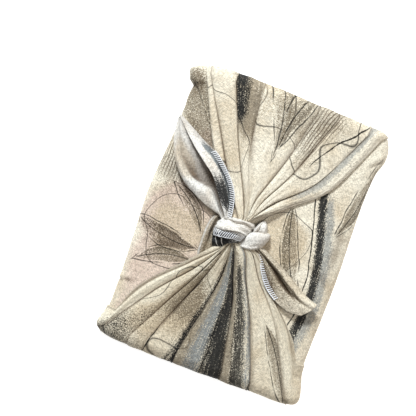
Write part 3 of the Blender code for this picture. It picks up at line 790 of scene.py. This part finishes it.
def drawn_up(surface, depth, lean, seed, pitch=3.0):
    """The surface creased as cloth drawn up hard is: sharp small folds, leaning this far from the x axis."""
    normal = np.cross(np.gradient(surface, axis=1), np.gradient(surface, axis=0))
    normal *= np.sign(normal[..., 2].mean()) / np.maximum(np.linalg.norm(normal, axis=2, keepdims=True), 1e-9)
    lean = math.radians(lean)
    along = surface[..., 0] * math.cos(lean) + surface[..., 1] * math.sin(lean)
    across = surface[..., 1] * math.cos(lean) - surface[..., 0] * math.sin(lean)
    places = np.stack([along / (5.5 * pitch), across / pitch, surface[..., 2] / (3 * pitch) + seed], axis=2)
    creased = [0.32 - abs(noise.noise(q)) + 0.5 * noise.noise(q * 0.4) for q in places.reshape(-1, 3)]
    return surface + normal * depth * np.array(creased).reshape(along.shape)[..., None]


def spread_flat(surface):
    """Each point's place with the cloth pulled flat: along the rows as u and down the columns as v."""
    across = np.linalg.norm(np.diff(surface, axis=1, prepend=surface[:, :1]), axis=2).cumsum(axis=1)
    across *= across[:, -1:].mean() / across[:, -1:]
    along = np.linalg.norm(np.diff(surface, axis=0, prepend=surface[:1]), axis=2).cumsum(axis=0)
    return np.stack([across, along.mean(axis=1, keepdims=True) + 0 * across], axis=2)


def make_turn(name, surface):
    """One turn of the knot: its folded surface, with the edges tucked down out of sight."""
    # How deep in a fold each point lies, which the material darkens as painted shade.
    folded = np.pad(in_folds(surface[..., 2].T, KNOT_FOLD_REACH, KNOT_FOLD_DEPTH).T, 1)
    middle = surface.reshape(-1, 3).mean(axis=0)
    tucked = np.pad(surface, ((1, 1), (1, 1), (0, 0)), mode="edge")
    rim = np.ones(tucked.shape[:2], bool)
    rim[1:-1, 1:-1] = False
    tucked[rim] = tucked[rim] + TUCKED_IN * (middle - tucked[rim])
    tucked[rim, 2] = KNOT_FOOT
    return lay_cloth(name, tucked, spread_flat(tucked), folded)


band_surface = drawn_up(surface_over(KNOT_BAND, 14, 7), 1.5, -8, 1.0)
knot_band = make_turn("knot_band", band_surface)
lower_right_surface = drawn_up(surface_over(LOWER_RIGHT_LOOP, 12, 10), 0.7, 24, 5.0, 4.2)
lower_right_loop = make_turn("lower_right_loop", lower_right_surface)
upper_right_surface = drawn_up(surface_over(UPPER_RIGHT_LOOP, 12, 7), 0.9, 80, 9.0)
upper_right_loop = make_turn("upper_right_loop", upper_right_surface)
left_loop_surface = drawn_up(surface_over(LEFT_LOOP, 14, 10), 1.2, 94, 13.0)
left_loop = make_turn("left_loop", left_loop_surface)

PALE = (0.76, 0.735, 0.69)
PALE_SHADE = (0.56, 0.47, 0.37)
HEM_U = 0.051
band_print = PrintedLinen("knot_linen", PALE, PALE_SHADE)
band_print.brush_band(BLUE_GREY, HEM_U, 0.0125, (0.01, 0.08), dry=1.3, strength=0.6)
# Charcoal across the hem: the print's dark patch below it, and painted shade under the stitches.
band_print.brush_band(CHARCOAL, HEM_U, 0.02, (-0.03, 0.046), dry=0.6)
band_print.brush_band(BLUE_GREY, HEM_U + 0.008, 0.003, (-0.03, 0.05), 0.12, dry=0.9, strength=0.8)
for centre in (0.034, 0.046):
    band_print.brush_band(PALE, HEM_U - centre, 0.0011, (0.0, 0.06), 1.5, dry=0.7, strength=0.9)
knot_band.data.materials.append(band_print.done())
pale_print = PrintedLinen("pale_linen", PALE, PALE_SHADE)
pale_print.ink_line(0.0415, (0.012, 0.03), 0.0, 0.002, 0.05)
lower_right_loop.data.materials.append(pale_print.done())
upper_right_loop.data.materials.append(pale_print.material)
loop_print = PrintedLinen("loop_linen", (0.5, 0.44, 0.36), TAN)
loop_print.brush_band(TAUPE, 0.036, 0.03, (-0.03, 0.1), dry=1.3, strength=0.85)
loop_print.brush_band(PALE, 0.0085, 0.002, (-0.03, 0.1), dry=0.6, strength=0.7)
left_loop.data.materials.append(loop_print.done())

for turn, flat in (
    (knot_band, (0.055, 0.06)),
    (lower_right_loop, (0.042, 0.042)),
    (upper_right_loop, (0.028, 0.03)),
    (left_loop, (0.028, 0.06)),
):
    give_thickness(turn)
    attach(turn, "root")
    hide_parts("furoshiki_cloth")

# The two free ends of the knot. Each is a corner's last stretch with the overlocked hem along one edge: the
# left one opens out flat to the bundle's edge, and the right one lies down to the right and lifts at its tip.
TAIL_THICKNESS = 1.1
# The painted shade in the tails' folds: over how many neighbours the mean height is taken, and how far below
# it a fold is fully shaded.
TAIL_FOLD_REACH = 14
TAIL_FOLD_DEPTH = 3.0
LEFT_TAIL = (
    ("hem edge",
     (-17, 7, 40), (-18, 19, 39.5), (-23, 36, 38), (-34, 51, 36.5), (-52, 67, 35), (-70, 75.5, 33.5),
     (-88, 85, 32), (-103, 93, 30.6)),
    ("strip",
     (-20, 7.5, 41), (-22.5, 18, 41), (-29, 34, 40), (-41, 48.5, 39), (-57, 62, 38), (-74, 71, 36),
     (-91, 82, 33.6), (-103.3, 92.5, 31)),
    ("strip's fold",
     (-23, 8.5, 42), (-27.5, 15, 43), (-38, 29, 43.5), (-50.4, 45, 44), (-63.6, 55.3, 42.8),
     (-79.4, 67.8, 39.4), (-94, 81.5, 35), (-103.6, 92, 31.2)),
    ("under the fold",
     (-23, 8.2, 38), (-26, 16, 36.5), (-35, 30.8, 34.5), (-46.4, 47.4, 33.6), (-60, 58, 34.2),
     (-77, 69.6, 34.2), (-93.2, 82, 32.8), (-103.5, 91.6, 30.8)),
    ("dark crease",
     (-24, 7.5, 37), (-29, 13.5, 34), (-42.5, 31.8, 31), (-52, 36.8, 30.4), (-65, 43, 31),
     (-82, 57, 33.6), (-96, 76.5, 32.8), (-103.8, 91, 30.7)),
    ("hollow",
     (-24.2, 7, 37), (-29.6, 13, 34.4), (-44.2, 31, 31.2), (-54.5, 34, 30.4), (-69, 38, 30.8),
     (-85, 53, 33.4), (-97, 74, 32.8), (-104, 90.6, 30.6)),
    ("roll's inner side",
     (-24.4, 6.5, 37.4), (-30, 12.4, 37), (-45, 28.5, 35.6), (-57, 31.5, 35.4), (-72.5, 36.5, 36.6),
     (-87.5, 50.5, 37), (-98.5, 72, 35), (-104.2, 90.2, 30.9)),
    ("roll",
     (-24.6, 5.5, 38), (-30.6, 11.4, 38.5), (-45, 22, 39), (-59.5, 26.5, 40), (-75, 33, 40.5),
     (-89.5, 47.5, 39.6), (-100, 70, 36.4), (-104.4, 89.8, 31)),
    ("roll's outer side",
     (-24.6, 4.5, 37), (-31, 9.4, 36), (-45, 13.5, 35.6), (-62, 21, 36.4), (-77.2, 30, 37),
     (-91, 45.5, 36.4), (-101.7, 68.5, 34.4), (-104.6, 89.2, 30.4)),
    ("turned edge",
     (-24, 4.2, 35), (-30.4, 9.6, 33), (-43.6, 15, 31.6), (-60.2, 23.4, 32), (-75, 32.4, 32.2),
     (-89, 47.6, 32), (-100.2, 69.4, 31.6), (-103.6, 88.4, 29.4)),
)
RIGHT_TAIL = (
    ("upper edge",
     (18, -3, 33), (30, -8.5, 33.4), (42, -14.5, 33.4), (56, -21.4, 33.4), (70, -29.4, 33.6),
     (83, -37, 34), (98, -42.5, 38.5)),
    ("upper slope",
     (18, -5, 34.5), (30, -10.4, 35.6), (42, -16.4, 36.4), (55.4, -23.6, 36.8), (69, -32, 36),
     (82.4, -39.4, 36), (97.6, -44.5, 39.2)),
    ("ridge",
     (17.6, -7, 36.4), (29, -13.2, 38.4), (41, -19, 40.4), (53.6, -26.4, 40.6), (67, -35.4, 39),
     (81, -43, 38), (96.5, -47, 39.4)),
    ("crease",
     (17.2, -8.2, 34.4), (28.4, -14.8, 34.6), (39.4, -21.6, 34), (51, -29.8, 33.6), (64.4, -39.4, 33.6),
     (79.6, -45.6, 34.6), (95, -49.5, 38)),
    ("crumple",
     (17, -9, 34.8), (28.1, -16, 36.2), (38, -25, 37), (48.8, -34.6, 37.6), (61.4, -43.6, 36.6),
     (78, -49.4, 36), (93.6, -51.4, 38.2)),
    ("hem's inside",
     (16.6, -10.2, 34.2), (27.4, -17.4, 35.4), (35.8, -29, 35), (45.6, -40.4, 34.8), (59, -50.2, 34.8),
     (76, -55.6, 35), (91, -54.6, 37.2)),
    ("hem edge",
     (16, -12, 33), (25.6, -19, 35.2), (32.4, -31, 35.4), (42, -44, 35), (56.5, -54, 34.4),
     (72, -59.6, 34), (87, -58.8, 36)),
)

left_surface = drawn_up(surface_over(LEFT_TAIL, 9, 8), 0.8, 132, 21.0, 6.5)
right_surface = drawn_up(surface_over(RIGHT_TAIL, 9, 9), 1.5, -38, 27.0, 4.4)
# How deep in a fold each point lies, which the material darkens as painted shade.
left_folds, right_folds = (
    in_folds(surface[..., 2], TAIL_FOLD_REACH, TAIL_FOLD_DEPTH) for surface in (left_surface, right_surface)
)
left_tail = lay_cloth("left_tail", left_surface, spread_flat(left_surface), left_folds)
right_tail = lay_cloth("right_tail", right_surface, spread_flat(right_surface), right_folds)

left_print = PrintedLinen("left_tail_linen", PALE, PALE_SHADE)
left_print.wash(TAN, (0.035, 0.075), (0.012, 0.03), 0.6, 0.6, 0.4)
left_print.brush_band(CHARCOAL, 0.0085, 0.0095, (0.004, 0.045), dry=0.7)
# Along the hem, under its stitches: a blue-grey print strip, and a charcoal strip that is painted shade
# between the stitches.
left_print.brush_band(BLUE_GREY, 0.003, 0.0032, (0.0, 0.085), dry=0.5)
left_print.brush_band(CHARCOAL, 0.003, 0.0026, (0.0, 0.06), dry=0.8, strength=0.8)
left_tail.data.materials.append(left_print.done())
right_print = PrintedLinen("right_tail_linen", (0.69, 0.62, 0.5), TAN)
# A taupe pool by the knot: print, and painted shade where the tail comes out from under the knot.
right_print.wash(TAUPE, (0.018, 0.04), (0.02, 0.045), 0.85, 0.8, 1.5)
right_print.brush_band(TAUPE, 0.013, 0.005, (0.0, 0.075), dry=1.3, strength=0.7)
right_print.brush_band(BROWN, 0.025, 0.0045, (-0.02, 0.055), dry=0.8, strength=0.75)
right_tail.data.materials.append(right_print.done())

# The overlocked hem. A white thread runs to and fro over the raw edge, about 5 mm wide, with a chain along
# the edge itself. It shows on both free ends and across the knot.
HEM_WIDTH = 4.8
THREAD_RADIUS = 0.42
STITCH_PITCH = 2.3
STITCH_SLANT = 0.45
CHAIN_SWING = (0.245, 0.245, 0.0)
CHAIN_LIFT = (0.0, 0.0, 0.2)
LEFT_HEM_ROWS = slice(3, 40)
RIGHT_HEM_ROWS = slice(6, 37)
KNOT_HEM_ROWS = slice(12, 62)
KNOT_HEM_COLUMNS = slice(55, 42, -3)


def sew_overlock(name, strip, lift=0.2):
    """Slanting stitches of thread over a strip of cloth, from its edge inwards, and a chain on the edge."""
    edge = strip[:, 0]
    length = np.concatenate([[0.0], np.cumsum(np.linalg.norm(np.diff(edge, axis=0), axis=1))])
    stitches = int(length[-1] / STITCH_PITCH)

    def at(line, steps):
        gone = steps * length[-1] / stitches
        return np.column_stack([np.interp(gone, length, line[:, k]) for k in range(3)])

    slants = np.linspace(0, STITCH_SLANT, strip.shape[1])
    across = [at(strip[:, k], np.arange(stitches) + slant) for k, slant in enumerate(slants)]
    runs = list(np.array(across).transpose(1, 0, 2) + (0, 0, lift + THREAD_RADIUS / 2))
    fine = np.arange(0, stitches, 0.5)
    swing = np.where(np.arange(len(fine)) % 2, 1.0, -1.0)[:, None] * CHAIN_SWING
    runs += [at(edge, fine) + swing + CHAIN_LIFT]
    curve = bpy.data.curves.new(name, "CURVE")
    curve.dimensions = "3D"
    curve.bevel_depth = THREAD_RADIUS * MM
    curve.bevel_resolution = 1
    curve.use_fill_caps = True
    for run in runs:
        thread = curve.splines.new("POLY")
        thread.points.add(len(run) - 1)
        places = (run - BOX_MIDDLE) * MM
        thread.points.foreach_set("co", np.column_stack([places, np.ones(len(run))]).ravel())
    hem = bpy.data.objects.new(name, curve)
    bpy.context.scene.collection.objects.link(hem)
    bpy.ops.object.select_all(action="DESELECT")
    hem.select_set(True)
    bpy.context.view_layer.objects.active = hem
    bpy.ops.object.convert(target="MESH")
    hem = bpy.context.object
    hem.data.shade_smooth()
    return hem


def white_thread():
    """Spun polyester thread, nearly white, with its twist as a fine ripple."""
    material = bpy.data.materials.new("overlock_thread")
    material.use_nodes = True
    tree = material.node_tree
    shader = tree.nodes["Principled BSDF"]
    place = tree.nodes.new("ShaderNodeTexCoord")
    fuzz = tree.nodes.new("ShaderNodeTexNoise")
    fuzz.inputs["Scale"].default_value = 2600
    tint = tree.nodes.new("ShaderNodeMix")
    tint.data_type = "RGBA"
    tint.inputs[6].default_value = (0.6, 0.62, 0.66, 1.0)
    tint.inputs[7].default_value = (0.85, 0.86, 0.88, 1.0)
    ripple = tree.nodes.new("ShaderNodeBump")
    ripple.inputs["Strength"].default_value = 0.5
    ripple.inputs["Distance"].default_value = 0.0002
    shader.inputs["Roughness"].default_value = 0.7
    tree.links.new(place.outputs["Object"], fuzz.inputs["Vector"])
    tree.links.new(fuzz.outputs[0], tint.inputs[0])
    tree.links.new(tint.outputs[2], shader.inputs["Base Color"])
    tree.links.new(fuzz.outputs[0], ripple.inputs["Height"])
    tree.links.new(ripple.outputs[0], shader.inputs["Normal"])
    return material


def strip_of(surface, edge_column, towards):
    """The hem's strip of a cloth along one of its edges, as a grid of points that starts at the edge."""
    edge, inner = surface[:, edge_column], surface[:, towards]
    way = inner - edge
    way *= np.minimum(1.0, HEM_WIDTH / np.linalg.norm(way, axis=1))[:, None]
    return edge[:, None] + way[:, None] * np.linspace(0, 1, 4)[None, :, None]


thread = white_thread()
left_hem = sew_overlock("left_tail_overlock", strip_of(left_surface, 0, 8)[LEFT_HEM_ROWS])
right_hem = sew_overlock("right_tail_overlock", strip_of(right_surface, -1, -10)[RIGHT_HEM_ROWS])
knot_hem = sew_overlock("knot_overlock", band_surface[KNOT_HEM_ROWS, KNOT_HEM_COLUMNS], 0.3)

for tail, flat, cut_area, hem in (
    (left_tail, (0.08, 0.13), 0.0075, left_hem),
    (right_tail, (0.035, 0.09), 0.0025, right_hem),
):
    give_thickness(tail, TAIL_THICKNESS)
    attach(tail, "root")
    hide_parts("furoshiki_cloth")
for hem in (left_hem, right_hem, knot_hem):
    hem.data.materials.append(thread)
    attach(hem, "root")

# The room: a pale floor, a soft cool light from beyond the upper end and to the left, a broad weaker warm one
# from the right, and a camera straight above, turned as the photograph shows the bundle.
FLOOR_SIDE = 6.0
FLOOR_DROP = 0.0003
PHOTO_TURN = math.radians(20.6)
CAMERA_PLACE = (-0.0464, 0.0105, 1.628)
CAMERA_LENS = 133.1

bpy.ops.mesh.primitive_plane_add(size=FLOOR_SIDE, location=(0, 0, -FLOOR_DROP))
floor = bpy.context.object
floor.name = "floor"
bpy.ops.object.transform_apply(location=True)
paper = bpy.data.materials.new("floor_paper")
paper.use_nodes = True
for socket, value in (
    ("Base Color", (0.9, 0.9, 0.9, 1)),
    ("Roughness", 0.9),
    ("Emission Color", (1, 1, 1, 1)),
    ("Emission Strength", 0.7),
):
    paper.node_tree.nodes["Principled BSDF"].inputs[socket].default_value = value
floor.data.materials.append(paper)


def hang_light(name, place, size, power, colour):
    """An area light at this place that faces the bundle."""
    lamp = bpy.data.lights.new(name, "AREA")
    lamp.size = size
    lamp.energy = power
    lamp.color = colour
    holder = bpy.data.objects.new(name, lamp)
    holder.location = place
    holder.rotation_euler = (-Vector(place)).to_track_quat("-Z", "Y").to_euler()
    bpy.context.scene.collection.objects.link(holder)


hang_light("window", (-1.75, 3.0, 2.8), 0.9, 308, (0.91, 0.965, 1.0))
hang_light("fill", (2.4, 0.2, 3.0), 2.2, 66, (1.0, 0.95, 0.88))
world = bpy.data.worlds.new("room")
world.use_nodes = True
world.node_tree.nodes["Background"].inputs["Color"].default_value = (1.0, 1.0, 1.0, 1)
world.node_tree.nodes["Background"].inputs["Strength"].default_value = 0.21
bpy.context.scene.world = world
bpy.context.scene.view_settings.view_transform = "Standard"

camera = bpy.data.objects.new("camera", bpy.data.cameras.new("camera"))
camera.location = CAMERA_PLACE
camera.rotation_euler = (0, 0, PHOTO_TURN)
camera.data.lens = CAMERA_LENS
bpy.context.scene.collection.objects.link(camera)
bpy.context.scene.camera = camera
